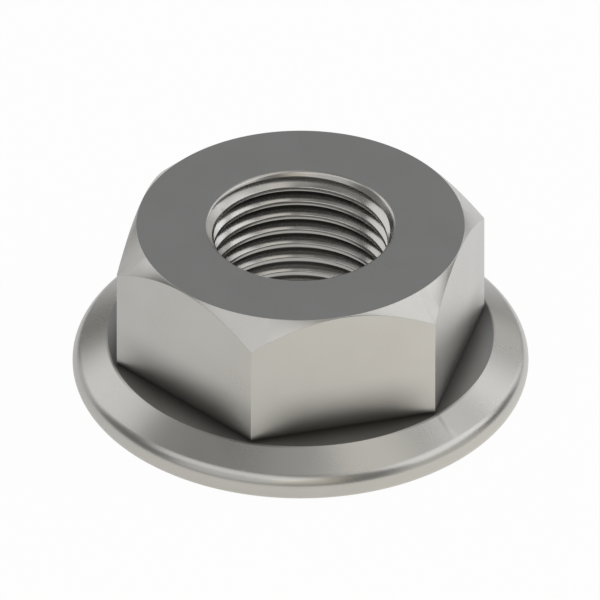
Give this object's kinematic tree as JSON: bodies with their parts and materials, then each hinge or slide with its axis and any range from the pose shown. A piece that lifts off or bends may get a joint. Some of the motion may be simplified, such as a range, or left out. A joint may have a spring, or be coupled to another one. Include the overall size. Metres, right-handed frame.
{
  "type": "hex flange nut",
  "caption": "Hexagon nut with a wide round flange, chamfered corners and a right-hand fine thread through its centre.",
  "frame": {"origin": "centre of the flange's bearing face, on the thread's axis", "axes": "+Z along the thread's axis, from the bearing face to the top face; two corners of the hexagon lie on the X axis"},
  "size_m": [0.0332, 0.0332, 0.0132],
  "materials": {
    "steel": "satin"
  },
  "bodies": {
    "root": {"flange_nut": "steel"}
  },
  "joints": []
}
